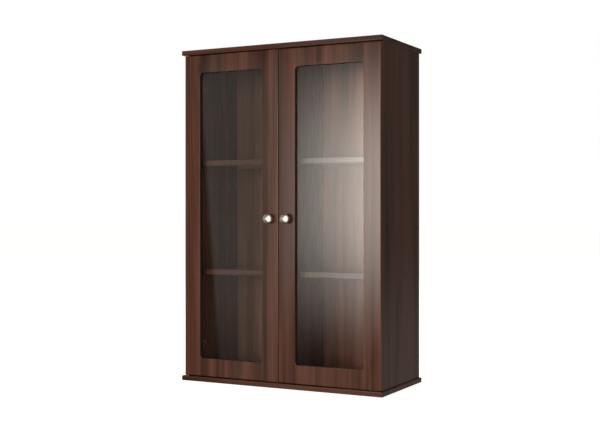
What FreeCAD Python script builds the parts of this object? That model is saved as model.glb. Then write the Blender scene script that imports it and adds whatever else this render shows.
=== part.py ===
"""Two-door glass-front china cabinet: a knock-down board carcass with a centre partition, four
shelves, two one-piece framed doors with glass panes, and concealed hinges.

Frame: X to the right, Y to the back, Z up. The origin is the middle of the bottom board's
underside. The doors face -Y. The right-hand door and its fittings are the left-hand ones
mirrored in the plane X = 0.
"""
import FreeCAD, Part
import math
import os
import re

import Sketcher

DIMENSIONS = {
    # whole cabinet
    "overall_width": 694, "overall_depth": 316, "overall_height": 1050,
    "board_thickness": 15, "board_edge_radius": 2,
    # upright panels
    "panel_thickness": 18, "side_overhang": 7, "side_rear_inset": 3,
    # back panel in its groove
    "back_thickness": 3, "back_inset": 9, "groove_depth": 6, "groove_slack": 0.2,
    # shelves
    "shelf_thickness": 18, "shelf_front_inset": 43, "shelf_rear_gap": 2, "shelf_side_gap": 0.75,
    "lower_shelf_level": 337, "upper_shelf_level": 683,
    "pin_radius": 2.5, "pin_length": 16, "pin_inset": 32, "fit_gap": 0.1,
    # doors
    "door_setback": 8.5, "door_thickness": 18, "door_gap": 2, "door_half_split": 0.6,
    "door_clearance": 2.5, "door_edge_radius": 3, "window_edge_radius": 1,
    "frame_width": 56, "window_radius": 10, "rebate_width": 8, "rebate_depth": 10,
    "glass_thickness": 4, "glass_slack": 0.5, "bead_thickness": 5.4,
    # bumper pads
    "bumper_radius": 3.5, "bumper_thickness": 2.2, "bumper_inset": 4.5, "bumper_end_distance": 45,
    # knobs
    "knob_radius": 16, "knob_projection": 29, "knob_foot_radius": 7, "knob_neck_radius": 4.8,
    "knob_inset": 28.9, "knob_level": 516, "knob_screw_radius": 2,
    "knob_screw_depth": 12, "knob_screw_head_radius": 4.2, "knob_screw_head": 2.4,
    # concealed hinges: places are measured in from the side's outer face and back from the
    # front edge of the boards
    "hinge_end_distance": 100,
    "cup_centre": 22.5, "cup_radius": 17.5, "cup_wall": 0.7, "cup_depth": 11.5,
    "flange_thickness": 1, "flange_half_length": 30, "flange_half_width": 9,
    "flange_ring_radius": 19, "cup_screw_offset": 24,
    "arm_pivot_x": 29, "arm_pivot_y": 20, "bend_x": 19.8, "bend_y": 19.1,
    "cup_pivot_x": 12, "cup_pivot_y": 24,
    "link_radius": 2, "link_width": 12, "hinge_pin_radius": 1, "pin_clearance": 0.05,
    "lug_thickness": 2.4, "lug_radius": 2.6,
    "arm_nose_radius": 2.6, "arm_width": 17, "arm_inner_width": 13,
    "arm_low": 19.8, "arm_high": 30.5, "arm_root": 36, "arm_end": 86, "arm_web": 1.6,
    "plate_thickness": 1.5, "plate_half_height": 23, "plate_front": 57, "plate_back": 75,
    "plate_rib_width": 12.4, "plate_rib_front": 42, "plate_rib_back": 84, "plate_rib_height": 8,
    "plate_screw_offset": 16, "plate_screw_setback": 66, "arm_screw_setback": 79,
    "screw_radius": 1.75, "screw_head_radius": 3.4, "screw_head": 1, "screw_length": 10,
    "plate_screw_radius": 2.5, "plate_screw_length": 12, "plate_screw_head_radius": 3.8,
    # carcass joints
    "cam_radius": 7.5, "cam_depth": 13, "cam_distance": 24, "cam_channel_radius": 3.8,
    "bolt_radius": 2.5, "bolt_bite": 10, "bolt_head_radius": 3.5, "bolt_head": 3,
    "cam_front_inset": 50, "cam_rear_inset": 50,
    "dowel_radius": 4, "dowel_bite": 9, "dowel_rise": 20,
    "dowel_front_inset": 82, "dowel_rear_inset": 82,
}

# Places that several pieces share, as expressions of the driving dimensions.
FRONT = "(-overall_depth / 2)"
BACK = "(overall_depth / 2)"
DOOR_FRONT = f"({FRONT} + door_setback)"
DOOR_BACK = f"({DOOR_FRONT} + door_thickness)"
PANEL_FRONT = f"({DOOR_BACK} + door_clearance)"
PANEL_BACK = f"({BACK} - side_rear_inset)"
GROOVE_FRONT = f"({BACK} - back_inset - back_thickness - groove_slack)"
SIDE_OUT = "(overall_width / 2 - side_overhang)"
SIDE_IN = f"({SIDE_OUT} - panel_thickness)"
FLOOR = "board_thickness"
CEILING = "(overall_height - board_thickness)"
INSIDE_HEIGHT = "(overall_height - 2 * board_thickness)"
DOOR_WIDTH = f"({SIDE_OUT} - door_half_split)"
DOOR_HEIGHT = f"({INSIDE_HEIGHT} - 2 * door_gap)"
DOOR_LOW = "(board_thickness + door_gap)"
HINGE_LEVELS = {
    "lower": f"({DOOR_LOW} + hinge_end_distance)",
    "upper": f"({CEILING} - door_gap - hinge_end_distance)",
}
SHELF_LEVELS = {"lower": "lower_shelf_level", "upper": "upper_shelf_level"}

TURN_Z_TO_X = FreeCAD.Rotation(FreeCAD.Vector(0, 1, 0), 90)
TURN_Z_TO_Y = FreeCAD.Rotation(FreeCAD.Vector(1, 0, 0), -90)
TURN_Z_TO_FRONT = FreeCAD.Rotation(FreeCAD.Vector(1, 0, 0), 90)
HALF_TURN = FreeCAD.Rotation(FreeCAD.Vector(0, 0, 1), 180)
NO_TURN = FreeCAD.Rotation()
ROD_TURNS = {"x": TURN_Z_TO_X, "y": TURN_Z_TO_Y, "z": NO_TURN}

doc = FreeCAD.newDocument("china_cabinet")
sheet = doc.addObject("Spreadsheet::Sheet", "Dims")
for row, (alias, value) in enumerate(DIMENSIONS.items(), start=1):
    sheet.set(f"A{row}", alias)
    sheet.set(f"B{row}", str(value))
    sheet.setAlias(f"B{row}", alias)
doc.recompute()

ALIAS_PATTERN = re.compile(r"\b(" + "|".join(DIMENSIONS) + r")\b")
nodes = []


# ---------------------------------------------------------------- expressions and primitives
def sized(expression):
    """The expression with each dimension's name pointing at the spreadsheet."""
    return ALIAS_PATTERN.sub(r"Dims.\1", expression)


def number(expression):
    """The expression's present value in millimetres."""
    return float(sheet.evalExpression(sized(expression)))


def bind(item, **expressions):
    for name, expression in expressions.items():
        item.setExpression(name, sized(expression))


def place(item, x, y, z, turn=NO_TURN):
    item.Placement = FreeCAD.Placement(FreeCAD.Vector(number(x), number(y), number(z)), turn)
    for axis, expression in zip("xyz", (x, y, z)):
        item.setExpression(f"Placement.Base.{axis}", sized(expression))


def box(name, x, y, z, length, width, height):
    item = doc.addObject("Part::Box", name)
    bind(item, Length=length, Width=width, Height=height)
    place(item, x, y, z)
    return item


def rod(name, axis, x, y, z, radius, length):
    """A cylinder that starts at (x, y, z) and runs along the positive axis."""
    item = doc.addObject("Part::Cylinder", name)
    bind(item, Radius=radius, Height=length)
    place(item, x, y, z, ROD_TURNS[axis])
    return item


def fuse(name, pieces):
    item = doc.addObject("Part::MultiFuse", name)
    item.Shapes = pieces
    return item


def cut(name, base, tools):
    item = doc.addObject("Part::Cut", name)
    item.Base = base
    item.Tool = tools[0] if len(tools) == 1 else fuse(f"{name}_tools", tools)
    return item


def group(name, pieces):
    item = doc.addObject("Part::Compound", name)
    item.Links = pieces
    return item


def mirrored(name, source):
    item = doc.addObject("Part::Mirroring", name)
    item.Source = source
    item.Base = FreeCAD.Vector(0, 0, 0)
    item.Normal = FreeCAD.Vector(1, 0, 0)
    return item


def rounded(name, base, radius, choose):
    """The base with the edges that choose() picks rounded off."""
    doc.recompute()
    item = doc.addObject("Part::Fillet", name)
    item.Base = base
    size = number(radius)
    item.Edges = [(i, size, size) for i, edge in enumerate(base.Shape.Edges, 1) if choose(edge)]
    return item


def runs_along(edge, axis):
    direction = edge.Vertexes[-1].Point - edge.Vertexes[0].Point
    return abs(direction.dot(axis)) > 0.999 * direction.Length


def keep(label, item):
    """Marks a finished sub-part: its label is the name of its node and its file."""
    item.Label = label
    nodes.append(item)
    return item


# ---------------------------------------------------------------- sketches and features
def new_body(name):
    return doc.addObject("PartDesign::Body", name)


def new_sketch(body, name):
    sketch = body.newObject("Sketcher::SketchObject", name)
    plane = next(f for f in body.Origin.OriginFeatures if f.Role == "XY_Plane")
    sketch.AttachmentSupport = (plane, "")
    sketch.MapMode = "FlatFace"
    return sketch


def dimension(sketch, kind, *args):
    """A sketch constraint whose last argument is an expression."""
    index = sketch.addConstraint(Sketcher.Constraint(kind, *args[:-1], number(args[-1])))
    sketch.setExpression(f"Constraints[{index}]", sized(args[-1]))


def pin_point(sketch, line, end, x, y):
    dimension(sketch, "DistanceX", -1, 1, line, end, x)
    dimension(sketch, "DistanceY", -1, 1, line, end, y)


def draw_outline(sketch, points, arcs=None):
    """A closed outline through the points, given as pairs of expressions. arcs maps the index
    of a side that is an arc to its radius expression and the side of travel on which it
    bulges: +1 for left, -1 for right."""
    arcs = arcs or {}
    spots = [FreeCAD.Vector(number(x), number(y), 0) for x, y in points]
    count = len(spots)
    ends = [(1, 2)] * count
    for i in range(count):
        start, end = spots[i], spots[(i + 1) % count]
        if i not in arcs:
            sketch.addGeometry(Part.LineSegment(start, end), False)
            continue
        middle = arc_middle(start, end, number(arcs[i][0]), arcs[i][1])
        if arcs[i][1] > 0:
            # A sketch's arcs run anticlockwise, so this one is drawn from its end.
            start, end = end, start
            ends[i] = (2, 1)
        sketch.addGeometry(Part.Arc(start, middle, end), False)
    for i in range(count):
        following = (i + 1) % count
        sketch.addConstraint(
            Sketcher.Constraint("Coincident", i, ends[i][1], following, ends[following][0]))
        pin_point(sketch, i, ends[i][0], *points[i])
        if i in arcs:
            dimension(sketch, "Radius", i, arcs[i][0])


def arc_middle(start, end, radius, side):
    """The middle point of the minor arc of that radius from start to end."""
    chord = end - start
    half = chord.Length / 2
    rise = radius - math.sqrt(radius ** 2 - half ** 2)
    left = FreeCAD.Vector(-chord.y, chord.x, 0).normalize()
    return (start + end) * 0.5 + left * (rise * side)


def draw_rectangle(sketch, left, low, right, high):
    draw_outline(sketch, [(left, low), (right, low), (right, high), (left, high)])


def draw_rounded_rectangle(sketch, left, low, right, high, radius):
    points = [
        (f"{left} + {radius}", low), (f"{right} - {radius}", low),
        (right, f"{low} + {radius}"), (right, f"{high} - {radius}"),
        (f"{right} - {radius}", high), (f"{left} + {radius}", high),
        (left, f"{high} - {radius}"), (left, f"{low} + {radius}"),
    ]
    draw_outline(sketch, points, {corner: (radius, -1) for corner in (1, 3, 5, 7)})


def draw_circle(sketch, x, y, radius):
    centre = FreeCAD.Vector(number(x), number(y), 0)
    index = sketch.addGeometry(
        Part.Circle(centre, FreeCAD.Vector(0, 0, 1), number(radius)), False)
    pin_point(sketch, index, 3, x, y)
    dimension(sketch, "Radius", index, radius)


def draw_slot(sketch, x0, y0, x1, y1, radius):
    """A straight slot: two half circles about the end points, joined by tangent lines."""
    a = FreeCAD.Vector(number(x0), number(y0), 0)
    b = FreeCAD.Vector(number(x1), number(y1), 0)
    along = (b - a).normalize()
    side = FreeCAD.Vector(-along.y, along.x, 0) * number(radius)
    reach = along * number(radius)
    first = sketch.addGeometry(Part.Arc(a + side, a - reach, a - side), False)
    lower = sketch.addGeometry(Part.LineSegment(a - side, b - side), False)
    second = sketch.addGeometry(Part.Arc(b - side, b + reach, b + side), False)
    upper = sketch.addGeometry(Part.LineSegment(b + side, a + side), False)
    for arc, arc_end, line, line_end in ((first, 2, lower, 1), (second, 1, lower, 2),
                                         (second, 2, upper, 1), (first, 1, upper, 2)):
        sketch.addConstraint(Sketcher.Constraint("Tangent", arc, arc_end, line, line_end))
    pin_point(sketch, first, 3, x0, y0)
    pin_point(sketch, second, 3, x1, y1)
    dimension(sketch, "Radius", first, radius)
    dimension(sketch, "Radius", second, radius)


def extrude(body, kind, name, sketch, length=None, reverse=False, both_ways=False):
    """A Pad or a Pocket of the sketch. A pocket with no length goes right through."""
    feature = body.newObject(f"PartDesign::{kind}", name)
    feature.Profile = sketch
    if length is None:
        feature.Type = "ThroughAll"
    else:
        bind(feature, Length=length)
    feature.Reversed = reverse
    if both_ways:
        feature.SideType = "Symmetric"
    sketch.Visibility = False
    return feature


def soften(body, name, radius, choose):
    """Fillets the edges of the body so far that choose() picks."""
    doc.recompute()
    base = body.Tip
    feature = body.newObject("PartDesign::Fillet", name)
    feature.Base = (base, [f"Edge{i}" for i, edge in enumerate(base.Shape.Edges, 1)
                           if choose(edge)])
    bind(feature, Radius=radius)
    return feature


# ---------------------------------------------------------------- carcass
def cam_places():
    return [f"({PANEL_FRONT} + cam_front_inset)", f"({PANEL_BACK} - cam_rear_inset)"]


def dowel_places():
    return [f"({PANEL_FRONT} + dowel_front_inset)", f"({PANEL_BACK} - dowel_rear_inset)"]


def side_centres():
    """X of the middle of each side panel's thickness."""
    return {"left": f"(-{SIDE_OUT} + panel_thickness / 2)",
            "right": f"({SIDE_OUT} - panel_thickness / 2)"}


def joint_holes(prefix, level, rises):
    """Holes for the cam bolts and dowels in a board: level is the board's inner face, and
    rises is +1 for holes that go up into the board and -1 for holes that go down into it."""
    holes = []
    bolt_depth = "(bolt_bite + fit_gap)"
    dowel_depth = "(dowel_bite + fit_gap)"
    bolt_z = level if rises > 0 else f"{level} - {bolt_depth}"
    dowel_z = level if rises > 0 else f"{level} - {dowel_depth}"
    for side, x in side_centres().items():
        for i, y in enumerate(cam_places()):
            holes.append(rod(f"{prefix}_bolt_hole_{side}_{i}", "z", x, y, bolt_z,
                             "bolt_radius + fit_gap", bolt_depth))
    for panel, x in {**side_centres(), "middle": "0"}.items():
        for i, y in enumerate(dowel_places()):
            holes.append(rod(f"{prefix}_dowel_hole_{panel}_{i}", "z", x, y, dowel_z,
                             "dowel_radius + fit_gap", dowel_depth))
    return holes


def make_board(label, low, inner_face, rises):
    """A top or bottom board: a padded rectangle with eased edges, grooved for the back panel."""
    body = new_body(f"{label}_body")
    outline = new_sketch(body, f"{label}_outline")
    draw_rectangle(outline, "-overall_width / 2", FRONT, "overall_width / 2", BACK)
    extrude(body, "Pad", f"{label}_pad", outline, "board_thickness")
    soften(body, f"{label}_eased", "board_edge_radius", lambda edge: True)
    place(body, "0", "0", low)
    groove_z = inner_face if rises > 0 else f"{inner_face} - groove_depth"
    groove = box(f"{label}_groove", f"-{SIDE_IN} - groove_depth", GROOVE_FRONT, groove_z,
                 f"2 * ({SIDE_IN} + groove_depth)", "back_thickness + 2 * groove_slack",
                 "groove_depth")
    keep(label, cut(f"{label}_cut", body, [groove, *joint_holes(label, inner_face, rises)]))


def bolt_end_holes(prefix, x):
    """Holes for the cam bolts in both ends of a side panel."""
    depth = "(cam_distance + fit_gap)"
    return [rod(f"{prefix}_{end}_bolt_{i}", "z", x, y, z, "bolt_head_radius + fit_gap", depth)
            for end, z in (("low", FLOOR), ("high", f"{CEILING} - {depth}"))
            for i, y in enumerate(cam_places())]


def dowel_end_holes(prefix, x):
    """Holes for the dowels in both ends of an upright panel."""
    depth = "(dowel_rise + fit_gap)"
    return [rod(f"{prefix}_{end}_dowel_{i}", "z", x, y, z, "dowel_radius + fit_gap", depth)
            for end, z in (("low", FLOOR), ("high", f"{CEILING} - {depth}"))
            for i, y in enumerate(dowel_places())]


def cam_levels():
    return {"low": f"({FLOOR} + cam_distance)", "high": f"({CEILING} - cam_distance)"}


def cam_pockets():
    """Round pockets for the cam locks in the left side's inner face."""
    depth = "(cam_depth + fit_gap)"
    return [rod(f"cam_pocket_{end}_{i}", "x", f"-{SIDE_IN} - {depth}", y, z,
                "cam_radius + fit_gap", depth)
            for end, z in cam_levels().items() for i, y in enumerate(cam_places())]


def shelf_pin_places():
    """Y and Z of the shelf pins' axes, by the shelf that they carry."""
    shelf_back = f"({GROOVE_FRONT} - shelf_rear_gap)"
    rows = [f"({FRONT} + shelf_front_inset + pin_inset)", f"({shelf_back} - pin_inset)"]
    return {shelf: [(y, f"({level} - pin_radius - fit_gap / 2)") for y in rows]
            for shelf, level in SHELF_LEVELS.items()}


def shelf_pin_holes(prefix, x):
    depth = "pin_length / 2 + fit_gap"
    return [rod(f"{prefix}_pin_{shelf}_{i}", "x", x, y, z, "pin_radius + fit_gap", depth)
            for shelf, spots in shelf_pin_places().items() for i, (y, z) in enumerate(spots)]


def hinge_plate_holes():
    """Pilot holes in the left side's inner face for the hinge plates' screws."""
    return [rod(f"left_plate_hole_{name}_{sign}", "x",
                f"-{SIDE_IN} - plate_screw_length - fit_gap",
                f"{FRONT} + plate_screw_setback", f"{level} {sign} plate_screw_offset",
                "plate_screw_radius + fit_gap", "plate_screw_length + 2 * fit_gap")
            for name, level in HINGE_LEVELS.items() for sign in "+-"]


def make_sides():
    blank = box("side_blank", f"-{SIDE_OUT}", PANEL_FRONT, FLOOR, "panel_thickness",
                f"{PANEL_BACK} - {PANEL_FRONT}", INSIDE_HEIGHT)
    eased = rounded("side_eased", blank, "door_edge_radius / 2",
                    lambda edge: runs_along(edge, FreeCAD.Vector(0, 0, 1)))
    inner = f"(-{SIDE_IN})"
    groove = box("side_groove", f"{inner} - groove_depth", GROOVE_FRONT, FLOOR,
                 "groove_depth", "back_thickness + 2 * groove_slack", INSIDE_HEIGHT)
    centre = side_centres()["left"]
    holes = [groove, *bolt_end_holes("left", centre), *dowel_end_holes("left", centre),
             *cam_pockets(),
             *shelf_pin_holes("left", f"{inner} - pin_length / 2 - fit_gap"),
             *hinge_plate_holes()]
    left = keep("side_panel_left", cut("side_cut", eased, holes))
    keep("side_panel_right", mirrored("side_mirror", left))


def make_partition():
    """The centre partition stands in front of the back panel and carries both bays' shelves."""
    blank = box("partition_blank", "-panel_thickness / 2", PANEL_FRONT, FLOOR, "panel_thickness",
                f"{GROOVE_FRONT} - {PANEL_FRONT}", INSIDE_HEIGHT)
    left_pins = shelf_pin_holes("mid_left", "-panel_thickness / 2")
    right_pins = shelf_pin_holes("mid_right", "panel_thickness / 2 - pin_length / 2 - fit_gap")
    holes = [*dowel_end_holes("mid", "0"), *left_pins, *right_pins]
    keep("centre_partition", cut("partition_cut", blank, holes))


def make_back_panel():
    reach = f"({SIDE_IN} + groove_depth - groove_slack)"
    edge = "(groove_depth - groove_slack)"
    keep("back_panel", box("back_sheet", f"-{reach}", f"{GROOVE_FRONT} + groove_slack",
                           f"{FLOOR} - {edge}", f"2 * {reach}", "back_thickness",
                           f"{INSIDE_HEIGHT} + 2 * {edge}"))


def make_shelves():
    width = f"({SIDE_IN} - panel_thickness / 2 - 2 * shelf_side_gap)"
    depth = f"({GROOVE_FRONT} - shelf_rear_gap - {FRONT} - shelf_front_inset)"
    for name, level in SHELF_LEVELS.items():
        blank = box(f"{name}_shelf_blank", f"-{SIDE_IN} + shelf_side_gap",
                    f"{FRONT} + shelf_front_inset", level, width, depth, "shelf_thickness")
        eased = rounded(f"{name}_shelf_eased", blank, "door_edge_radius / 2",
                        lambda edge: runs_along(edge, FreeCAD.Vector(1, 0, 0)))
        keep(f"shelf_{name}_left", eased)
        keep(f"shelf_{name}_right", mirrored(f"{name}_shelf_mirror", eased))


def make_shelf_pins():
    """Plain steel pins, half in the panel and half under the shelf; four carry each shelf."""
    starts = {"outer": f"-{SIDE_IN} - pin_length / 2", "inner": "(-panel_thickness - pin_length) / 2"}
    for shelf, spots in shelf_pin_places().items():
        pins = [rod(f"{shelf}_{side}_pin_{i}", "x", x, y, z, "pin_radius", "pin_length")
                for side, x in starts.items() for i, (y, z) in enumerate(spots)]
        left = keep(f"shelf_pins_{shelf}_left", group(f"{shelf}_pins", pins))
        keep(f"shelf_pins_{shelf}_right", mirrored(f"{shelf}_pins_mirror", left))


def make_cam(tag, start, x, y, z, bolt_side):
    """A cam lock's drum, with the channel that takes the bolt's head; bolt_side is -1 where the
    bolt comes from below and +1 where it comes from above."""
    drum = rod(f"drum_{tag}", "x", start, y, z, "cam_radius", "cam_depth")
    channel_z = f"{z} - cam_radius - 1" if bolt_side < 0 else f"{z} - 2"
    channel = rod(f"channel_{tag}", "z", x, y, channel_z, "cam_channel_radius", "cam_radius + 3")
    return cut(f"cam_{tag}", drum, [channel])


def make_cam_bolt(tag, x, y, bolt_side):
    """A bolt that bites in a board and reaches into the cam's channel with its head."""
    reach = "(cam_distance - cam_channel_radius + bolt_head)"
    if bolt_side < 0:
        shank_z, head_z = f"{FLOOR} - bolt_bite", f"{FLOOR} + {reach} - bolt_head"
    else:
        shank_z = head_z = f"{CEILING} - {reach}"
    shank = rod(f"shank_{tag}", "z", x, y, shank_z, "bolt_radius", f"{reach} + bolt_bite")
    head = rod(f"head_{tag}", "z", x, y, head_z, "bolt_head_radius", "bolt_head")
    return fuse(f"bolt_{tag}", [shank, head])


def make_carcass_joints():
    """Cam locks and their bolts draw the sides to the boards; dowels locate all three uprights."""
    cams = []
    bolts = []
    dowels = []
    starts = {"left": f"-{SIDE_IN} - cam_depth", "right": SIDE_IN}
    for side, x in side_centres().items():
        for (end, z), bolt_side in zip(cam_levels().items(), (-1, 1)):
            for i, y in enumerate(cam_places()):
                tag = f"{side}_{end}_{i}"
                cams.append(make_cam(tag, starts[side], x, y, z, bolt_side))
                bolts.append(make_cam_bolt(tag, x, y, bolt_side))
    for panel, x in {**side_centres(), "middle": "0"}.items():
        for end, z in (("low", f"{FLOOR} - dowel_bite"), ("high", f"{CEILING} - dowel_rise")):
            for i, y in enumerate(dowel_places()):
                dowels.append(rod(f"dowel_{panel}_{end}_{i}", "z", x, y, z, "dowel_radius",
                                  "dowel_bite + dowel_rise"))
    keep("cam_locks", group("cam_lock_group", cams))
    keep("cam_bolts", group("cam_bolt_group", bolts))
    keep("dowels", group("dowel_group", dowels))


# ---------------------------------------------------------------- doors
def make_door():
    """One-piece routed door. In the body's own frame X runs from the hinged edge, Y up and Z
    from the back face to the front face."""
    body = new_body("door_body")
    outline = new_sketch(body, "door_outline")
    draw_rectangle(outline, "0", "0", DOOR_WIDTH, DOOR_HEIGHT)
    extrude(body, "Pad", "door_blank", outline, "door_thickness")
    window = new_sketch(body, "door_window")
    draw_rounded_rectangle(window, "frame_width", "frame_width", f"{DOOR_WIDTH} - frame_width",
                           f"{DOOR_HEIGHT} - frame_width", "window_radius")
    extrude(body, "Pocket", "window_cut", window, reverse=True)
    rebate = new_sketch(body, "door_rebate")
    inset = "(frame_width - rebate_width)"
    draw_rectangle(rebate, inset, inset, f"{DOOR_WIDTH} - {inset}", f"{DOOR_HEIGHT} - {inset}")
    extrude(body, "Pocket", "rebate_cut", rebate, "rebate_depth", reverse=True)
    cups = new_sketch(body, "door_cup_recesses")
    pilots = new_sketch(body, "door_cup_screw_pilots")
    for level in HINGE_LEVELS.values():
        draw_circle(cups, "cup_centre", f"{level} - {DOOR_LOW}", "cup_radius + fit_gap")
        for sign in "+-":
            draw_circle(pilots, "cup_centre", f"{level} - {DOOR_LOW} {sign} cup_screw_offset",
                        "screw_radius + fit_gap")
    extrude(body, "Pocket", "cup_recess_cut", cups, "cup_depth + fit_gap", reverse=True)
    extrude(body, "Pocket", "pilot_cut", pilots, "screw_length + fit_gap", reverse=True)
    knob_hole = new_sketch(body, "door_knob_hole")
    draw_circle(knob_hole, f"{SIDE_OUT} - door_half_split - knob_inset",
                f"knob_level - {DOOR_LOW}", "knob_screw_radius + 2 * fit_gap")
    extrude(body, "Pocket", "knob_hole_cut", knob_hole, reverse=True)
    doc.recompute()
    front = number("door_thickness")
    outline_box = body.Tip.Shape.BoundBox
    soften(body, "door_eased", "door_edge_radius",
           lambda edge: on_level(edge, front) and margin(edge, outline_box) < 0.001)
    soften(body, "window_eased", "window_edge_radius",
           lambda edge: on_level(edge, front) and not is_full_circle(edge)
           and margin(edge, outline_box) > number("frame_width") / 2)
    place(body, f"-{SIDE_OUT}", DOOR_BACK, DOOR_LOW, TURN_Z_TO_FRONT)
    return body


def on_level(edge, level):
    return all(abs(vertex.Point.z - level) < 1e-6 for vertex in edge.Vertexes)


def margin(edge, box):
    """How far inside the box's X and Y sides the edge's ends are."""
    points = [vertex.Point for vertex in edge.Vertexes]
    return min(min(p.x - box.XMin, box.XMax - p.x, p.y - box.YMin, box.YMax - p.y)
               for p in points)


def is_full_circle(edge):
    return len(edge.Vertexes) == 1


def make_doors():
    left = keep("door_frame_left", make_door())
    keep("door_frame_right", mirrored("door_mirror", left))


def make_glazing():
    """A pane in each door's rebate, and the four retaining beads that hold it from behind."""
    rebate = "(frame_width - rebate_width)"
    left = f"-{SIDE_OUT} + {rebate}"
    low = f"{DOOR_LOW} + {rebate}"
    width = f"({DOOR_WIDTH} - 2 * {rebate})"
    height = f"({DOOR_HEIGHT} - 2 * {rebate})"
    seat = f"({DOOR_BACK} - rebate_depth)"
    pane = box("pane", f"{left} + glass_slack", f"{seat} + fit_gap", f"{low} + glass_slack",
               f"{width} - 2 * glass_slack", "glass_thickness", f"{height} - 2 * glass_slack")
    left_pane = keep("glass_pane_left", pane)
    keep("glass_pane_right", mirrored("pane_mirror", left_pane))
    bead = "(rebate_width - 2 * fit_gap)"
    y = f"{seat} + glass_thickness + 2 * fit_gap"
    stiles = [box(f"bead_stile_{i}", x, y, f"{low} + fit_gap", bead, "bead_thickness",
                  f"{height} - 2 * fit_gap")
              for i, x in enumerate([f"{left} + fit_gap", f"{left} + {width} - fit_gap - {bead}"])]
    rails = [box(f"bead_rail_{i}", f"{left} + {bead} + 2 * fit_gap", y, z,
                 f"{width} - 2 * {bead} - 4 * fit_gap", "bead_thickness", bead)
             for i, z in enumerate([f"{low} + fit_gap", f"{low} + {height} - fit_gap - {bead}"])]
    left_beads = keep("glazing_beads_left", group("beads", stiles + rails))
    keep("glazing_beads_right", mirrored("beads_mirror", left_beads))


def make_bumpers():
    """Soft pads on the door's back, where it meets the partition's front edge."""
    levels = [f"{DOOR_LOW} + bumper_end_distance", f"{CEILING} - door_gap - bumper_end_distance"]
    pads = [rod(f"bumper_{i}", "y", "-door_half_split - bumper_inset", DOOR_BACK, z,
                "bumper_radius", "bumper_thickness") for i, z in enumerate(levels)]
    left = keep("door_bumpers_left", group("bumpers", pads))
    keep("door_bumpers_right", mirrored("bumpers_mirror", left))


def make_knobs():
    """Turned mushroom knob: the outline is radius against height above the door's face."""
    body = new_body("knob_body")
    outline = new_sketch(body, "knob_outline")
    bore = "(knob_screw_radius + fit_gap)"
    dome = "(knob_projection * 0.45)"
    points = [
        (bore, "0"), ("knob_foot_radius", "0"), ("knob_foot_radius", "1.6"),
        ("knob_neck_radius", "6"), ("knob_radius * 0.86", "knob_projection * 0.45"),
        ("knob_radius", f"knob_projection - {dome}"), ("0", "knob_projection"),
        ("0", "knob_screw_depth"), (bore, "knob_screw_depth"),
    ]
    arcs = {
        2: ("knob_foot_radius * 0.7", 1),
        3: ("knob_projection * 0.5", 1),
        4: ("knob_radius * 0.17", -1),
        5: (f"(knob_radius ^ 2 + {dome} ^ 2) / (2 * {dome})", -1),
    }
    draw_outline(outline, points, arcs)
    turned = body.newObject("PartDesign::Revolution", "knob_turned")
    turned.Profile = outline
    turned.ReferenceAxis = (outline, ["V_Axis"])
    turned.Angle = 360
    x = "(-door_half_split - knob_inset)"
    place(body, x, DOOR_FRONT, "knob_level", HALF_TURN)
    left = keep("knob_left", body)
    keep("knob_right", mirrored("knob_mirror", left))
    shank = rod("knob_screw_shank", "y", x, f"{DOOR_FRONT} - knob_screw_depth + 1", "knob_level",
                "knob_screw_radius", "door_thickness + knob_screw_depth - 1")
    head = rod("knob_screw_cap", "y", x, DOOR_BACK, "knob_level", "knob_screw_head_radius",
               "knob_screw_head")
    left_screw = keep("knob_screw_left", fuse("knob_screw", [shank, head]))
    keep("knob_screw_right", mirrored("knob_screw_mirror", left_screw))


# ---------------------------------------------------------------- concealed hinges
def place_on_hinge(item, level):
    """The hinge's own frame: X from the side's outer face, Y from the boards' front edge, Z
    from the middle of the hinge."""
    place(item, f"-{SIDE_OUT}", FRONT, level)


def hinge_x(distance):
    return f"-{SIDE_OUT} + {distance}"


def hinge_y(distance):
    return f"{FRONT} + {distance}"


def make_hinge_cup(name, level):
    """Drawn steel cup in the door's recess, with its flange on the door's back face and two
    lugs inside it that hold the cup pin."""
    back = DOOR_BACK
    x = hinge_x("cup_centre")
    floor_y = f"({back} - cup_depth)"
    shell = rod(f"cup_shell_{name}", "y", x, floor_y, level, "cup_radius", "cup_depth")
    ring = rod(f"cup_ring_{name}", "y", x, back, level, "flange_ring_radius", "flange_thickness")
    wings = box(f"cup_wings_{name}", hinge_x("cup_centre - flange_half_width"), back,
                f"{level} - flange_half_length", "2 * flange_half_width", "flange_thickness",
                "2 * flange_half_length")
    solid = fuse(f"cup_solid_{name}", [shell, ring, wings])
    hollow = rod(f"cup_hollow_{name}", "y", x, f"{floor_y} + cup_wall", level,
                 "cup_radius - cup_wall", "cup_depth + flange_thickness")
    holes = [rod(f"cup_screw_hole_{name}_{sign}", "y", x, f"{back} - 1",
                 f"{level} {sign} cup_screw_offset", "screw_radius + fit_gap",
                 "flange_thickness + 2") for sign in "+-"]
    drawn = cut(f"cup_drawn_{name}", solid, [hollow, *holes])
    lugs = []
    inner = "(link_width / 2 + 3 * fit_gap)"
    for side, z in (("low", f"{level} - {inner} - lug_thickness"), ("high", f"{level} + {inner}")):
        eye = rod(f"cup_lug_eye_{name}_{side}", "z", hinge_x("cup_pivot_x"),
                  hinge_y("cup_pivot_y"), z, "lug_radius", "lug_thickness")
        post = box(f"cup_lug_post_{name}_{side}", hinge_x("cup_pivot_x - lug_radius"),
                   f"{floor_y} + cup_wall / 2", z, "2 * lug_radius",
                   f"{hinge_y('cup_pivot_y')} - {floor_y} - cup_wall / 2", "lug_thickness")
        lugs += [eye, post]
    with_lugs = fuse(f"cup_with_lugs_{name}", [drawn, *lugs])
    bore = rod(f"cup_pin_bore_{name}", "z", hinge_x("cup_pivot_x"), hinge_y("cup_pivot_y"),
               f"{level} - {inner} - lug_thickness", "hinge_pin_radius + pin_clearance / 2",
               f"2 * ({inner} + lug_thickness)")
    return cut(f"cup_{name}", with_lugs, [bore])


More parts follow.
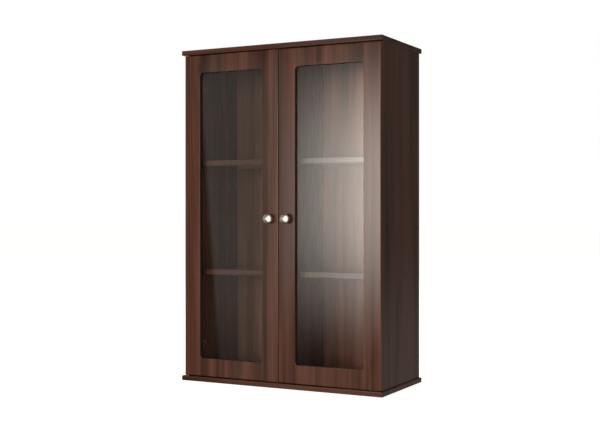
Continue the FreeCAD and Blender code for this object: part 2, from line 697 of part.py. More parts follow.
def make_hinge_link(name, level):
    """Cranked link: it runs from the arm's pin, round the door's edge, to the cup's pin."""
    body = new_body(f"link_{name}")
    for part, start, end in (("inner", ("arm_pivot_x", "arm_pivot_y"), ("bend_x", "bend_y")),
                             ("outer", ("bend_x", "bend_y"), ("cup_pivot_x", "cup_pivot_y"))):
        sketch = new_sketch(body, f"link_{name}_{part}")
        draw_slot(sketch, *start, *end, "link_radius")
        extrude(body, "Pad", f"link_{name}_{part}_pad", sketch, "link_width", both_ways=True)
    eyes = new_sketch(body, f"link_{name}_eyes")
    for x, y in (("arm_pivot_x", "arm_pivot_y"), ("cup_pivot_x", "cup_pivot_y")):
        draw_circle(eyes, x, y, "hinge_pin_radius + pin_clearance")
    extrude(body, "Pocket", f"link_{name}_bored", eyes, "2 * link_width", both_ways=True)
    place_on_hinge(body, level)
    return body


def make_hinge_arm(name, level):
    """Channel-shaped arm: two cheeks whose noses carry the link's pin, joined by a web."""
    body = new_body(f"arm_{name}")
    nose = new_sketch(body, f"arm_{name}_nose")
    draw_slot(nose, "arm_pivot_x", "arm_pivot_y", "arm_pivot_x + 1", "arm_root + 2",
              "arm_nose_radius")
    extrude(body, "Pad", f"arm_{name}_nose_pad", nose, "arm_width", both_ways=True)
    rail = new_sketch(body, f"arm_{name}_rail")
    draw_rectangle(rail, "arm_low", "arm_root", "arm_high", "arm_end")
    extrude(body, "Pad", f"arm_{name}_rail_pad", rail, "arm_width", both_ways=True)
    channel = new_sketch(body, f"arm_{name}_channel")
    reach = "(arm_high + arm_nose_radius)"
    draw_outline(channel, [
        ("arm_low - 1", "arm_pivot_y - arm_width"), (reach, "arm_pivot_y - arm_width"),
        (reach, "arm_root + 1"), ("arm_high - arm_web", "arm_root + 4"),
        ("arm_high - arm_web", "arm_end + 1"), ("arm_low - 1", "arm_end + 1")])
    extrude(body, "Pocket", f"arm_{name}_channel_cut", channel, "arm_inner_width",
            both_ways=True)
    bore = new_sketch(body, f"arm_{name}_bore")
    draw_circle(bore, "arm_pivot_x", "arm_pivot_y", "hinge_pin_radius + pin_clearance / 2")
    extrude(body, "Pocket", f"arm_{name}_bored", bore, "2 * arm_width", both_ways=True)
    place_on_hinge(body, level)
    hole = rod(f"arm_screw_hole_{name}", "x", hinge_x("arm_high - arm_web - 1"),
               hinge_y("arm_screw_setback"), level, "plate_screw_radius + fit_gap", "arm_web + 2")
    return cut(f"arm_{name}_cut", body, [hole])


def make_hinge_plate(name, level):
    """Mounting plate screwed to the side panel, with the rib that the arm slides over."""
    wings = box(f"plate_wings_{name}", hinge_x("panel_thickness"), hinge_y("plate_front"),
                f"{level} - plate_half_height", "plate_thickness", "plate_back - plate_front",
                "2 * plate_half_height")
    rounded_wings = rounded(f"plate_rounded_{name}", wings, "plate_thickness * 3",
                            lambda edge: runs_along(edge, FreeCAD.Vector(1, 0, 0)))
    rib = box(f"plate_rib_{name}", hinge_x("panel_thickness"), hinge_y("plate_rib_front"),
              f"{level} - plate_rib_width / 2", "plate_thickness + plate_rib_height",
              "plate_rib_back - plate_rib_front", "plate_rib_width")
    solid = fuse(f"plate_solid_{name}", [rounded_wings, rib])
    holes = [rod(f"plate_hole_{name}_{sign}", "x", hinge_x("panel_thickness - 1"),
                 hinge_y("plate_screw_setback"), f"{level} {sign} plate_screw_offset",
                 "plate_screw_radius + fit_gap", "plate_thickness + 2") for sign in "+-"]
    holes.append(rod(f"plate_thread_{name}", "x", hinge_x("panel_thickness + 1"),
                     hinge_y("arm_screw_setback"), level, "plate_screw_radius + fit_gap",
                     "plate_rib_height + plate_thickness"))
    return cut(f"plate_{name}", solid, holes)


def make_screw(name, axis, x, y, z, radius, length, head_radius, head_x, head_y, head):
    """A screw whose shank runs from (x, y, z) and whose head starts at (head_x, head_y, z)."""
    shank = rod(f"{name}_shank", axis, x, y, z, radius, length)
    cap = rod(f"{name}_cap", axis, head_x, head_y, z, head_radius, head)
    return fuse(name, [shank, cap])


def make_cup_screws(name, level):
    x = hinge_x("cup_centre")
    return [make_screw(f"cup_screw_{name}_{sign}", "y", x, f"{DOOR_BACK} - screw_length",
                       f"{level} {sign} cup_screw_offset", "screw_radius",
                       "screw_length + flange_thickness + screw_head / 2", "screw_head_radius",
                       x, f"{DOOR_BACK} + flange_thickness", "screw_head")
            for sign in "+-"]


def make_plate_screws(name, level):
    y = hinge_y("plate_screw_setback")
    return [make_screw(f"plate_screw_{name}_{sign}", "x",
                       hinge_x("panel_thickness - plate_screw_length"), y,
                       f"{level} {sign} plate_screw_offset", "plate_screw_radius",
                       "plate_screw_length + plate_thickness + screw_head",
                       "plate_screw_head_radius", hinge_x("panel_thickness + plate_thickness"), y,
                       "2 * screw_head")
            for sign in "+-"]


def make_arm_screw(name, level):
    y = hinge_y("arm_screw_setback")
    return make_screw(f"arm_screw_{name}", "x", hinge_x("panel_thickness + 1.5"), y, level,
                      "plate_screw_radius", "arm_high - panel_thickness - 1",
                      "plate_screw_head_radius", hinge_x("arm_high"), y, "2 * screw_head")


def hinge_pin(name, level, pivot_x, pivot_y, width):
    return rod(name, "z", hinge_x(pivot_x), hinge_y(pivot_y), f"{level} - ({width}) / 2",
               "hinge_pin_radius", width)


def make_hinges():
    plate_screws = []
    cup_screws = []
    arm_screws = []
    arm_pins = []
    cup_pins = []
    for name, level in HINGE_LEVELS.items():
        for part, maker in (("cup", make_hinge_cup), ("link", make_hinge_link),
                            ("arm", make_hinge_arm), ("plate", make_hinge_plate)):
            left = keep(f"hinge_{part}_{name}_left", maker(name, level))
            keep(f"hinge_{part}_{name}_right", mirrored(f"{part}_{name}_mirror", left))
        plate_screws += make_plate_screws(name, level)
        cup_screws += make_cup_screws(name, level)
        arm_screws.append(make_arm_screw(name, level))
        arm_pins.append(hinge_pin(f"arm_pin_{name}", level, "arm_pivot_x", "arm_pivot_y",
                                  "arm_width"))
        cup_pins.append(hinge_pin(f"cup_pin_{name}", level, "cup_pivot_x", "cup_pivot_y",
                                  "link_width + 6 * fit_gap + 2 * lug_thickness"))
    for label, pieces in (("hinge_plate_screws", plate_screws), ("hinge_cup_screws", cup_screws),
                          ("hinge_arm_screws", arm_screws), ("hinge_arm_pins", arm_pins),
                          ("hinge_cup_pins", cup_pins)):
        left = keep(f"{label}_left", group(f"{label}_group", pieces))
        keep(f"{label}_right", mirrored(f"{label}_mirror", left))


# ---------------------------------------------------------------- checks and files
def check_document():
    doc.recompute()
    failed = [item.Name for item in doc.Objects
              if "Invalid" in item.State or "Error" in item.State]
    for item in nodes:
        if item.Shape.isNull() or not item.Shape.isValid() or not item.Shape.Solids:
            failed.append(item.Label)
    if failed:
        raise RuntimeError("failed objects: " + ", ".join(failed))


def write_parts():
    os.makedirs("parts", exist_ok=True)
    for item in nodes:
        item.Shape.exportStep(f"parts/{item.Label}.step")
        limits = item.Shape.BoundBox
        print(f"{item.Label:26s} solids {len(item.Shape.Solids):2d}  volume {item.Shape.Volume:12.1f}"
              f"  x {limits.XMin:8.2f} {limits.XMax:8.2f}  y {limits.YMin:8.2f} {limits.YMax:8.2f}"
              f"  z {limits.ZMin:8.2f} {limits.ZMax:8.2f}")
    print(len(nodes), "sub-parts")


make_board("bottom_board", "0", FLOOR, -1)
make_board("top_board", CEILING, CEILING, 1)
make_sides()
make_partition()
make_back_panel()
make_shelves()
make_shelf_pins()
make_carcass_joints()
make_doors()
make_glazing()
make_bumpers()
make_knobs()
make_hinges()
check_document()
write_parts()
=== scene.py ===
"""China cabinet with glass doors: looks, stage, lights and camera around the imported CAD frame.

Metres, +Z up, doors towards -Y. Every place on the cabinet is worked out from the frame's
boxes. Directions in the studio are degrees round the cabinet: azimuth 0 is straight in front
of it and grows towards +X, and elevation 0 is level.
"""
import math

import bmesh
import bpy
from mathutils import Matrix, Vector


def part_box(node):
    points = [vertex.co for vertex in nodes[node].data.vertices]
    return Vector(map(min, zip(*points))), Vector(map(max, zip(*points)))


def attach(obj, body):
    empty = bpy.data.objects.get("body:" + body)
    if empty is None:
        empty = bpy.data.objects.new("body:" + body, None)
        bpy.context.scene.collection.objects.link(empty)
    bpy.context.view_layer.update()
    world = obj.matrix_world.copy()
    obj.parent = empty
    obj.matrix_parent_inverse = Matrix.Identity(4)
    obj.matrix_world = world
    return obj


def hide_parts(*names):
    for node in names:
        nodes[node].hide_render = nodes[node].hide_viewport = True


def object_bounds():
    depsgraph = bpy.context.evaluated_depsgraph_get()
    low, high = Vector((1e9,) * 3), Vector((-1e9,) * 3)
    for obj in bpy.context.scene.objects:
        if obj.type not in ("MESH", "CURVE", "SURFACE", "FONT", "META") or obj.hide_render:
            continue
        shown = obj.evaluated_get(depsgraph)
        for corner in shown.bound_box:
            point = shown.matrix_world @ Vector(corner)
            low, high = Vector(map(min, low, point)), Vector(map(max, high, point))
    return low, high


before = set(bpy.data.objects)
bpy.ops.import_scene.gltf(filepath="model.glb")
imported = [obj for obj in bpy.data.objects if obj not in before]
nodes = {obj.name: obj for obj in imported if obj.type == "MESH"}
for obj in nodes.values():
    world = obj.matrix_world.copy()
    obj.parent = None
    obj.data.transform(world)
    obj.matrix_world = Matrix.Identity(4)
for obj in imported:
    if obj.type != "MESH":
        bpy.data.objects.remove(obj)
cad_low, cad_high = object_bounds()

# ------------------------------------------------------------------ settings
CAMERA_TURN = math.radians(27.59)      # how far the camera stands round to the cabinet's right
CAMERA_PLACE = (1.5465, -2.9663, 0.5391)
CAMERA_LENS = 63.26
CAMERA_RISE = -0.0056                  # vertical shift, as a share of the picture's width

WALNUT_DARK = (0.038, 0.016, 0.010)
WALNUT_GREY = (0.062, 0.031, 0.020)
WALNUT_RED = (0.096, 0.036, 0.022)
WALNUT_LIGHT = (0.128, 0.053, 0.036)
BAND_STRETCH = 0.055                   # how slowly colour bands change along the grain
FIBRE_STRETCH = 0.012                  # the same for fibres and pores
CONTOUR_PITCH = 95                     # how close the contour lines lie
PORE_START = 0.60                      # how high the hair pattern has to be for a pore
PORE_DEPTH = 0.22                      # how far a pore goes towards the dark colour
DOOR_SHADE = 0.91                      # shades make a piece's foil lighter or darker
BOARD_SHADE = 0.86
SIDE_SHADE = 0.9
SHELF_SHADE = 0.9
BACK_SHADE = 2.5                       # the back panel is a much paler foil than the boards

STUDIO_TINT = (1.0, 0.935, 0.86, 1)    # the studio is lit a little warm
STUDIO_GLOW = 0.04                     # what mirrors see where there is no panel of light
LAMP_DISTANCE = 5.0


def add_object(name, data):
    thing = bpy.data.objects.new(name, data)
    bpy.context.scene.collection.objects.link(thing)
    return thing


# ------------------------------------------------------------------ node helpers
class Nodes:
    """A node tree with short calls for the nodes that materials and the world share."""

    def __init__(self, tree):
        self.tree = tree

    def node(self, kind, inputs=None, **settings):
        node = self.tree.nodes.new(kind)
        for key, value in settings.items():
            setattr(node, key, value)
        for key, value in (inputs or {}).items():
            self.feed(node.inputs[key], value)
        return node

    def feed(self, socket, value):
        """Links a socket, or sets its plain value."""
        if isinstance(value, bpy.types.NodeSocket):
            self.tree.links.new(value, socket)
        else:
            socket.default_value = value

    def math(self, operation, a, b=0.0, clamp=False):
        node = self.node("ShaderNodeMath", {0: a, 1: b}, operation=operation, use_clamp=clamp)
        return node.outputs[0]

    def total(self, *parts):
        """All the parts added."""
        result = parts[0]
        for part in parts[1:]:
            result = self.math("ADD", result, part)
        return result

    def product(self, *factors):
        """All the factors multiplied."""
        result = factors[0]
        for factor in factors[1:]:
            result = self.math("MULTIPLY", result, factor)
        return result

    def step(self, value, start, end, low=0.0, high=1.0, kind="SMOOTHSTEP"):
        """Goes from low to high while value goes from start to end."""
        node = self.node("ShaderNodeMapRange", {"Value": value, "From Min": start,
                                                "From Max": end, "To Min": low,
                                                "To Max": high}, interpolation_type=kind)
        return node.outputs["Result"]

    def either(self, factor, first, second):
        """Mixes two shaders: all first at 0, all second at 1."""
        mix = self.node("ShaderNodeMixShader", {0: factor})
        self.tree.links.new(first.outputs[0], mix.inputs[1])
        self.tree.links.new(second.outputs[0], mix.inputs[2])
        return mix.outputs[0]


class Graph(Nodes):
    """A material's node tree."""

    def __init__(self, name):
        self.material = bpy.data.materials.new(name)
        self.material.use_nodes = True
        super().__init__(self.material.node_tree)
        self.shader = self.tree.nodes["Principled BSDF"]
        self.output = self.tree.nodes["Material Output"]

    def here(self):
        """Object coordinates."""
        return self.node("ShaderNodeTexCoord").outputs["Object"]

    def place(self, scale, offset=(0, 0, 0)):
        """Object coordinates, stretched and shifted."""
        mapping = self.node("ShaderNodeMapping", {"Vector": self.here(), "Location": offset,
                                                  "Scale": scale})
        return mapping.outputs[0]

    def noise(self, vector, scale, detail=2.0, distortion=0.0, roughness=0.5):
        node = self.node("ShaderNodeTexNoise", {
            "Vector": vector, "Scale": scale, "Detail": detail, "Distortion": distortion,
            "Roughness": roughness})
        return node.outputs["Fac"]

    def ramp(self, factor, stops):
        """A colour ramp of (position, colour) stops."""
        node = self.node("ShaderNodeValToRGB", {"Fac": factor})
        ramp = node.color_ramp
        while len(ramp.elements) < len(stops):
            ramp.elements.new(0.5)
        for element, (position, colour) in zip(ramp.elements, stops):
            element.position = position
            element.color = colour
        return node.outputs["Color"]

    def mix(self, factor, a, b):
        node = self.node("ShaderNodeMix", data_type="RGBA", blend_type="MIX")
        first, second = [socket for socket in node.inputs if socket.type == "RGBA"]
        self.feed(node.inputs[0], factor)
        self.feed(first, a)
        self.feed(second, b)
        return [socket for socket in node.outputs if socket.type == "RGBA"][0]

    def around(self, middle, pattern, spread):
        """A value that follows a pattern up and down round a middle value."""
        return self.total(self.product(pattern, spread), middle - spread / 2)

    def bump(self, height, strength, distance):
        node = self.node("ShaderNodeBump", {"Height": height, "Strength": strength,
                                            "Distance": distance})
        return node.outputs[0]


def grey(value):
    return (value, value, value, 1)


def shaded(colour, shade):
    """A colour made lighter or darker, with full alpha."""
    return (*[part * shade for part in colour], 1)


# ------------------------------------------------------------------ materials
def drawn_out(grain, stretch):
    """The texture scale that draws a pattern out along the grain's axis."""
    return tuple(stretch if axis == grain else 1 for axis in "XYZ")


def walnut(name, grain="Z", offset=(0, 0, 0), shade=1.0, roughness=0.05, figures=(), bands=()):
    """Printed walnut foil: colour bands, contour-like figure, fibres and short pores, all
    drawn out along the grain. figures are (place, width, height) of knot-like ovals. bands are
    (place along X, half width, change of tone) of single broad bands, with the height where
    the band ends as a fourth value where it does."""
    g = Graph(name)
    banded = g.place(drawn_out(grain, BAND_STRETCH), offset)
    fibrous = g.place(drawn_out(grain, FIBRE_STRETCH), offset)
    drift = g.noise(banded, scale=21, detail=2, distortion=0.5)
    hue = g.noise(banded, scale=13, detail=1, distortion=0.8)
    hills = g.noise(banded, scale=9, detail=1.5, distortion=0.3)
    contours = g.math("SINE", g.product(hills, CONTOUR_PITCH))
    streaks = g.noise(fibrous, scale=110, detail=3, distortion=0.2, roughness=0.6)
    hair = g.noise(fibrous, scale=620, detail=2)
    parts = [g.product(drift, 0.66), g.product(streaks, 0.34), g.product(contours, 0.03)]
    parts += [figure_oval(g, *figure) for figure in figures]
    parts += [broad_band(g, banded, *band) for band in bands]
    tone = g.total(*parts)
    g.feed(g.shader.inputs["Base Color"], walnut_colour(g, tone, hue, hair, shade))
    g.feed(g.shader.inputs["Roughness"], g.around(roughness, hair, 0.08))
    g.shader.inputs["Specular IOR Level"].default_value = 0.58
    g.feed(g.shader.inputs["Normal"], g.bump(hair, strength=0.05, distance=0.0001))
    return g.material


def walnut_colour(g, tone, hue, hair, shade):
    """Dark to light along a warm or a cool ramp, with darker pores."""
    dark = shaded(WALNUT_DARK, shade)
    light = shaded(WALNUT_LIGHT, shade)
    warm = g.ramp(tone, [(0.28, dark), (0.46, shaded(WALNUT_RED, shade)), (0.62, light)])
    cool = g.ramp(tone, [(0.28, dark), (0.52, shaded(WALNUT_GREY, shade)), (0.70, light)])
    warmth = g.ramp(hue, [(0.40, grey(0)), (0.58, grey(1))])
    pores = g.product(g.math("GREATER_THAN", hair, PORE_START), PORE_DEPTH)
    return g.mix(pores, g.mix(warmth, cool, warm), dark)


def broad_band(g, wander, place, half_width, change, top=None):
    """One band of another tone at a place along X, with edges that wander a little. Where a
    top is given, the band fades out at that height."""
    wander_width = 0.014
    fade_half_height = 0.03
    x, _, z = g.node("ShaderNodeSeparateXYZ", {0: g.here()}).outputs
    drift = g.math("SUBTRACT", g.noise(wander, scale=12, detail=2), 0.5)
    off_centre = g.total(g.math("SUBTRACT", x, place), g.product(drift, wander_width))
    band = g.step(g.math("ABSOLUTE", off_centre), half_width * 0.6, half_width * 1.3, change, 0.0)
    if top is None:
        return band
    return g.product(band, g.step(z, top - fade_half_height, top + fade_half_height, 1.0, 0.0,
                                  kind="LINEAR"))


def figure_oval(g, place, width, height):
    """Rings round a knot-like oval, dark inside and gone a little way outside it."""
    depth_of_figure = 0.27
    ring_pitch = 14.0
    fall_off = 0.62
    wobble = g.noise(g.place((1, 1, 0.4)), scale=30, detail=2)
    shift = tuple(-part / size for part, size in zip(place, (width, 1, height)))
    shifted = g.place((1 / width, 0, 1 / height), shift)
    far = g.node("ShaderNodeVectorMath", {0: shifted}, operation="LENGTH").outputs["Value"]
    far = g.total(far, g.product(wobble, 0.5))
    ring = g.math("SINE", g.product(far, ring_pitch))
    reach = g.math("SUBTRACT", 1.0, g.product(far, fall_off), clamp=True)
    dip = g.math("SUBTRACT", g.product(ring, 0.35), 0.75)
    return g.product(dip, reach, depth_of_figure)


def clear_glass():
    """Float glass that lets lamps through to what is behind it."""
    g = Graph("clear_float_glass")
    for key, value in {"Base Color": (0.97, 0.985, 0.975, 1), "Transmission Weight": 1.0,
                       "Roughness": 0.0, "IOR": 1.5}.items():
        g.shader.inputs[key].default_value = value
    clear = g.node("ShaderNodeBsdfTransparent", {"Color": (0.92, 0.94, 0.93, 1)})
    path = g.node("ShaderNodeLightPath").outputs
    g.feed(g.output.inputs["Surface"], g.either(path["Is Shadow Ray"], g.shader, clear))
    return g.material


def metal(name, colour, roughness, brushed=0.0):
    """Plated metal with faint wear, and brushed lines of a given strength."""
    g = Graph(name)
    wear = g.noise(g.place((1, 1, 1)), scale=140, detail=3)
    g.shader.inputs["Metallic"].default_value = 1.0
    tint = g.mix(wear, shaded(colour, 0.93), shaded(colour, 1))
    g.feed(g.shader.inputs["Base Color"], tint)
    g.feed(g.shader.inputs["Roughness"], g.around(roughness, wear, 0.08))
    if brushed:
        lines = g.noise(g.place((1, 0.05, 1)), scale=1500, detail=2)
        g.feed(g.shader.inputs["Normal"], g.bump(lines, brushed, distance=0.00005))
    return g.material


def plain(name, colour, roughness):
    """Moulded plastic, rubber or plain wood with faint mottling."""
    g = Graph(name)
    mottle = g.noise(g.place((1, 1, 1)), scale=300, detail=3)
    tint = g.mix(mottle, shaded(colour, 0.88), shaded(colour, 1.12))
    g.feed(g.shader.inputs["Base Color"], tint)
    g.feed(g.shader.inputs["Roughness"], g.around(roughness, mottle, 0.1))
    g.feed(g.shader.inputs["Normal"], g.bump(mottle, strength=0.08, distance=0.0001))
    return g.material


def dress(material, *names):
    """Gives the CAD nodes a material in every slot."""
    for name in names:
        mesh = nodes[name].data
        if not mesh.materials:
            mesh.materials.append(material)
        for i in range(len(mesh.materials)):
            mesh.materials[i] = material


def starting(*starts):
    """The CAD nodes whose names start so."""
    return [name for name in nodes if name.startswith(starts)]


def dress_boards():
    low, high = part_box("bottom_board")
    left_part_darker = (low.x + 0.15, 0.24, -0.15)
    right_end_lighter = (high.x - 0.07, 0.11, 0.12)
    dress(walnut("walnut_top", "X", (3.1, 0.2, 0.0), BOARD_SHADE), "top_board")
    dress(walnut("walnut_bottom", "X", (5.7, 0.9, 0.4), BOARD_SHADE,
                 bands=[left_part_darker, right_end_lighter]), "bottom_board")
    dress(walnut("walnut_side_left", "Z", (1.7, 4.0, 0.3)), "side_panel_left")
    dress(walnut("walnut_side_right", "Z", (0.4, 2.2, 1.1), SIDE_SHADE), "side_panel_right")
    dress(walnut("walnut_partition", "Z", (6.2, 1.0, 0.0)), "centre_partition")


def left_door_marks(low, high):
    """The figures and bands of the left door's foil, from its box's corners."""
    figures = [((low.x + 0.056, 0, high.z - 0.045), 0.009, 0.028)]
    bands = [(low.x + 0.070, 0.013, -0.12), (low.x + 0.012, 0.008, -0.06),
             (high.x - 0.050, 0.006, -0.05), (high.x - 0.026, 0.017, 0.12)]
    return figures, bands


def right_door_marks(low, high):
    """The same for the right door."""
    middle = (low.x + high.x) / 2
    figures = [((low.x + 0.137, 0, high.z - 0.026), 0.013, 0.032),
               ((high.x - 0.068, 0, high.z - 0.030), 0.012, 0.026)]
    bands = [(low.x + 0.018, 0.014, -0.07), (high.x - 0.044, 0.012, 0.12),
             (high.x - 0.022, 0.009, -0.05), (middle, 0.110, 0.12, low.z + 0.10)]
    return figures, bands


def dress_doors():
    for side, offset, marks in (("left", (0.0, 0.0, 0.0), left_door_marks),
                                ("right", (2.3, 0.0, 0.8), right_door_marks)):
        low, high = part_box(f"door_frame_{side}")
        figures, bands = marks(low, high)
        dress(walnut(f"walnut_door_{side}", "Z", offset, DOOR_SHADE,
                     figures=figures, bands=bands), f"door_frame_{side}")
    dress(clear_glass(), "glass_pane_left", "glass_pane_right")
    dress(plain("bead_brown_plastic", (0.020, 0.012, 0.009), 0.45),
          "glazing_beads_left", "glazing_beads_right")
    dress(plain("bumper_pad", (0.62, 0.62, 0.60), 0.35),
          "door_bumpers_left", "door_bumpers_right")


def dress_inside():
    low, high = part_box("back_panel")
    middle = (low.x + high.x) / 2
    # The lighter band right of the middle is painted light: it brightens the strip of the back
    # that the key lamp lights through the right pane.
    dress(walnut("walnut_back", "Z", (9.1, 0.0, 0.5), BACK_SHADE, roughness=0.35,
                 bands=[(middle - 0.233, 0.010, -0.10), (middle + 0.135, 0.0255, 0.065)]),
          "back_panel")
    shelves = [name for name in starting("shelf_") if "pins" not in name]
    for i, name in enumerate(shelves):
        shade = 1.25 if name == "shelf_upper_left" else SHELF_SHADE
        dress(walnut(f"walnut_{name}", "X", (i * 1.3, 7.0, 0.0), shade), name)


def dress_fittings():
    """Hinge pressings are nickel plated, drawn in a nickel darkened as painted shade; screws,
    hinge pins and cam bolts are zinc plated; cam locks and shelf pins are browned; dowels are bare
    beech."""
    dress(plain("beech", (0.50, 0.33, 0.19), 0.6), "dowels")
    dress(metal("browned_zinc", (0.16, 0.11, 0.09), 0.5), "cam_locks", *starting("shelf_pins"))
    pressings = starting("hinge_cup_l", "hinge_cup_u", "hinge_arm_l", "hinge_arm_u",
                         "hinge_link", "hinge_plate_l", "hinge_plate_u")
    # The pressings' nickel is much darker than the knobs' nickel: painted shade that keeps the
    # hinges dim.
    dress(metal("nickel_darkened_as_shade", (0.36, 0.34, 0.32), 0.36), *pressings)
    screws = [name for name in starting("hinge_", "cam_bolts", "knob_screw")
              if name not in pressings]
    dress(metal("zinc_plate", (0.58, 0.59, 0.60), 0.33), *screws)


# ------------------------------------------------------------------ knobs
def arc_points(centre, radius, start, end, steps):
    """Points along an arc, angles in degrees from the radius axis towards the height axis."""
    angles = [math.radians(start + (end - start) * i / steps) for i in range(steps + 1)]
    return [(centre[0] + radius * math.cos(a), centre[1] + radius * math.sin(a)) for a in angles]


def shares(steps):
    """Equal steps up to 1, without 0."""
    return [i / steps for i in range(1, steps + 1)]


def knob_profile(radius, projection):
    """(radius, height) points from the foot to the top of the dome."""
    foot = radius * 0.4375
    neck = radius * 0.30
    lip = radius * 0.17
    base = projection * 0.055
    waist = projection * 0.20
    dome = projection * 0.45
    under = projection - dome - lip
    points = [(foot * 0.94, 0.0), (foot, projection * 0.012)]
    points += arc_points((foot - base * 0.5, base * 0.7), base * 0.5, 0, 70, steps=5)
    for t in shares(8):
        points.append((neck + (foot * 0.8 - neck) * (1 - t) ** 2, base * 1.1 + (waist - base) * t))
    for t in shares(12):
        turn = t * math.pi / 2
        points.append((neck + (radius - lip - neck) * (1 - math.cos(turn)),
                       waist + (under - waist) * math.sin(turn)))
    points += arc_points((radius - lip, under + lip), lip, -80, 0, steps=8)
    ball = (radius ** 2 + dome ** 2) / (2 * dome)
    edge = math.asin(min(1.0, radius / ball))
    for t in shares(32):
        lean = edge * (1 - t)
        points.append((ball * math.sin(lean), projection - ball * (1 - math.cos(lean))))
    return points


def turn_profile(profile, centre, back, steps):
    """A body turned about the Y axis through centre, standing out to -Y from back."""
    mesh = bmesh.new()
    turns = [2 * math.pi * k / steps for k in range(steps)]
    rings = []
    for radius, height in profile[:-1]:
        rings.append([mesh.verts.new((centre.x + radius * math.cos(a), back - height,
                                      centre.z + radius * math.sin(a))) for a in turns])
    tip = mesh.verts.new((centre.x, back - profile[-1][1], centre.z))
    mesh.faces.new(list(reversed(rings[0])))
    sides = [(k, (k + 1) % steps) for k in range(steps)]
    for inner, outer in zip(rings, rings[1:]):
        for k, after in sides:
            mesh.faces.new((inner[k], inner[after], outer[after], outer[k]))
    for k, after in sides:
        mesh.faces.new((rings[-1][k], rings[-1][after], tip))
    bmesh.ops.recalc_face_normals(mesh, faces=mesh.faces)
    for face in mesh.faces:
        is_foot = len(face.verts) == steps
        face.smooth = not is_foot
    return mesh


def make_knob(side, material):
    """A finely turned knob in place of the CAD one, riding on its door."""
    low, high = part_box(f"knob_{side}")
    profile = knob_profile((high.x - low.x) / 2, high.y - low.y)
    mesh = turn_profile(profile, (low + high) / 2, high.y, steps=96)
    data = bpy.data.meshes.new(f"turned_knob_{side}")
    mesh.to_mesh(data)
    mesh.free()
    knob = add_object(f"turned_knob_{side}", data)
    data.materials.append(material)
    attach(knob, f"{side}_door")
    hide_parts(f"knob_{side}")
    return knob


# ------------------------------------------------------------------ stage, lights, camera
def make_floor():
    """A pale floor that glows like a light table and is clear to bounced rays."""
    below_feet = 0.0005
    g = Graph("pale_floor")
    cloud = g.noise(g.place((1, 1, 1)), scale=3, detail=2)
    g.feed(g.shader.inputs["Base Color"], g.mix(cloud, grey(0.86), grey(0.88)))
    g.shader.inputs["Roughness"].default_value = 0.8
    g.shader.inputs["Specular IOR Level"].default_value = 0.0
    g.feed(g.shader.inputs["Emission Color"], g.mix(cloud, grey(0.98), grey(1.0)))
    g.shader.inputs["Emission Strength"].default_value = 0.85
    path = g.node("ShaderNodeLightPath").outputs
    bounced = g.math("MINIMUM", g.total(path["Diffuse Depth"], path["Glossy Depth"]), 1)
    clear = g.node("ShaderNodeBsdfTransparent")
    g.feed(g.output.inputs["Surface"], g.either(bounced, g.shader, clear))
    g.material.cycles.emission_sampling = "NONE"
    bpy.ops.mesh.primitive_plane_add(size=60, location=(0, 0, cad_low.z - below_feet))
    floor = bpy.context.object
    floor.name = "floor"
    floor.data.materials.append(g.material)
    floor.visible_glossy = False
    floor.visible_diffuse = False


class Studio(Nodes):
    """The world's node tree: how bright the studio is in each direction."""

    def __init__(self):
        self.world = bpy.data.worlds.new("studio")
        bpy.context.scene.world = self.world
        self.world.use_nodes = True
        super().__init__(self.world.node_tree)
        self.tree.nodes.clear()
        way = self.node("ShaderNodeTexCoord").outputs["Generated"]
        x, y, z = self.node("ShaderNodeSeparateXYZ", {0: way}).outputs
        ahead = self.product(y, -1)
        self.azimuth = self.product(self.math("ARCTAN2", x, ahead), math.degrees(1))
        self.elevation = self.product(self.math("ARCSINE", z), math.degrees(1))

    def panel(self, left, right, low, high, strength, kind="SMOOTHSTEP"):
        """A soft-edged panel of light. left and right are azimuths, low and high elevations;
        each is a pair, where the light begins and where it is full. kind is the left edge's."""
        return self.product(strength,
                            self.step(self.azimuth, *left, kind=kind),
                            self.step(self.azimuth, *right),
                            self.step(self.elevation, *low),
                            self.step(self.elevation, *high))

    def slanted_screen(self):
        """A pale screen with a slanting left edge, which the left pane mirrors."""
        slope = 0.071
        slanted = self.total(self.azimuth, self.product(self.elevation, slope))
        return self.product(self.step(slanted, -32.66, -32.36),
                            self.step(self.azimuth, -26, -30),
                            self.step(self.elevation, -7.5, -3.6, 0.15, 0.33),
                            self.step(self.elevation, 8.6, 7.4))

    def mirrored(self):
        """What the glass, the foil's sheen and the knobs mirror."""
        softbox = self.panel(left=(-29.2, -20.3), right=(-6, -12), low=(-8.2, 0.8),
                             high=(10.4, 2), strength=8.6, kind="LINEAR")
        left_wall = self.panel(left=(-180, -120), right=(-38, -46), low=(-60, -20),
                               high=(70, 30), strength=0.45)
        right_wall = self.panel(left=(-10, 0), right=(78, 60), low=(-55, -30),
                                high=(55, 30), strength=0.2)
        rear_wall = self.panel(left=(110, 130), right=(190, 185), low=(-91, -90),
                               high=(91, 90), strength=0.045)
        rear_floor = self.panel(left=(110, 130), right=(190, 185), low=(-91, -90),
                                high=(-1, -8), strength=0.10)
        ceiling = self.step(self.elevation, 28, 50, 0.0, 0.14)
        ground = self.step(self.elevation, -28, -50, 0.0, 0.15)
        return self.total(softbox, self.slanted_screen(), left_wall, right_wall, rear_floor,
                          rear_wall, ceiling, ground, STUDIO_GLOW)


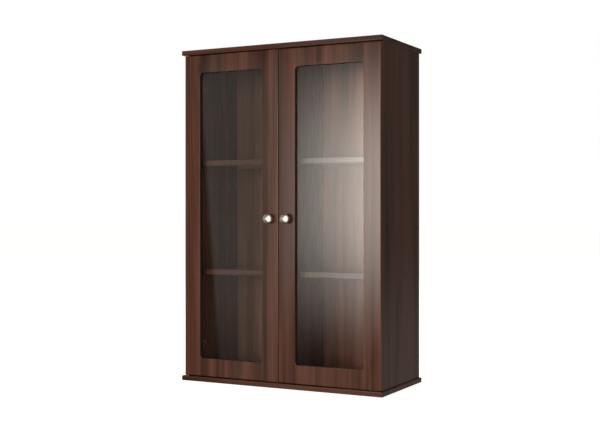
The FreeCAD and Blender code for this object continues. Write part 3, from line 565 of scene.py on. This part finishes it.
def make_world():
    """White to the camera; to every other ray a dim studio with a few soft panels of light."""
    studio = Studio()
    path = studio.node("ShaderNodeLightPath").outputs
    scattered = studio.math("MINIMUM", path["Diffuse Depth"], 1.0)
    straight = studio.math("SUBTRACT", 1.0, scattered)
    soft_light = studio.step(studio.elevation, -90, 60, 0.30, 0.19)
    level = studio.total(studio.product(scattered, soft_light),
                         studio.product(straight, studio.mirrored()))
    bounced = studio.total(path["Diffuse Depth"], path["Glossy Depth"])
    unbounced = studio.math("LESS_THAN", bounced, 0.5)
    through = studio.product(path["Is Transmission Ray"], unbounced)
    seen = studio.math("MAXIMUM", path["Is Camera Ray"], through)
    dim = studio.node("ShaderNodeBackground", {"Color": STUDIO_TINT, "Strength": level})
    white = studio.node("ShaderNodeBackground", {"Color": grey(1.0)})
    output = studio.node("ShaderNodeOutputWorld")
    studio.feed(output.inputs["Surface"], studio.either(seen, dim, white))
    studio.world.cycles.sampling_method = "NONE"


def toward(azimuth, elevation):
    """The direction in front of the cabinet at that angle: 0 is -Y, positive is to +X."""
    a, e = math.radians(azimuth), math.radians(elevation)
    return (math.sin(a) * math.cos(e), -math.cos(a) * math.cos(e), math.sin(e))


def area_light(name, azimuth, elevation, size, power, distance=LAMP_DISTANCE):
    """A soft round panel aimed at the cabinet's middle, which lights surfaces but isn't
    mirrored in them."""
    target = Vector((0, 0, (cad_low.z + cad_high.z) / 2))
    place = target + Vector(toward(azimuth, elevation)) * distance
    data = bpy.data.lights.new(name, "AREA")
    data.shape = "DISK"
    data.size = size
    data.energy = power
    lamp = add_object(name, data)
    lamp.location = place
    lamp.rotation_mode = "QUATERNION"
    lamp.rotation_quaternion = (target - place).to_track_quat("-Z", "Y")
    lamp.visible_camera = False
    lamp.visible_glossy = False
    lamp.visible_transmission = False
    return lamp


def make_lights():
    area_light("key_panel", azimuth=-12, elevation=3, size=0.8, power=105)
    area_light("broad_fill", azimuth=19, elevation=-5, size=3.4, power=195)
    area_light("left_fill", azimuth=-34, elevation=6, size=1.4, power=14)
    area_light("top_fill", azimuth=-150, elevation=62, size=2.4, power=70, distance=4.0)


def make_knob_card(knobs):
    """A near card of light that the knobs mirror. It lights nothing else."""
    card = area_light("knob_card", azimuth=56, elevation=-1, size=3.7, power=60, distance=1.0)
    card.visible_glossy = True
    receivers = bpy.data.collections.new("knob_card_lights")
    for knob in knobs:
        receivers.objects.link(knob)
    card.light_linking.receiver_collection = receivers


def make_camera():
    data = bpy.data.cameras.new("camera")
    data.lens = CAMERA_LENS
    data.shift_y = CAMERA_RISE
    camera = add_object("camera", data)
    camera.location = CAMERA_PLACE
    camera.rotation_euler = (math.pi / 2, 0, CAMERA_TURN)
    bpy.context.scene.camera = camera


bpy.context.scene.view_settings.view_transform = "Standard"
make_camera()
dress_boards()
dress_doors()
dress_inside()
dress_fittings()
knob_metal = metal("satin_nickel", (0.66, 0.62, 0.56), 0.34, brushed=0.12)
turned_knobs = [make_knob(side, knob_metal) for side in ("left", "right")]
make_floor()
make_world()
make_lights()
make_knob_card(turned_knobs)
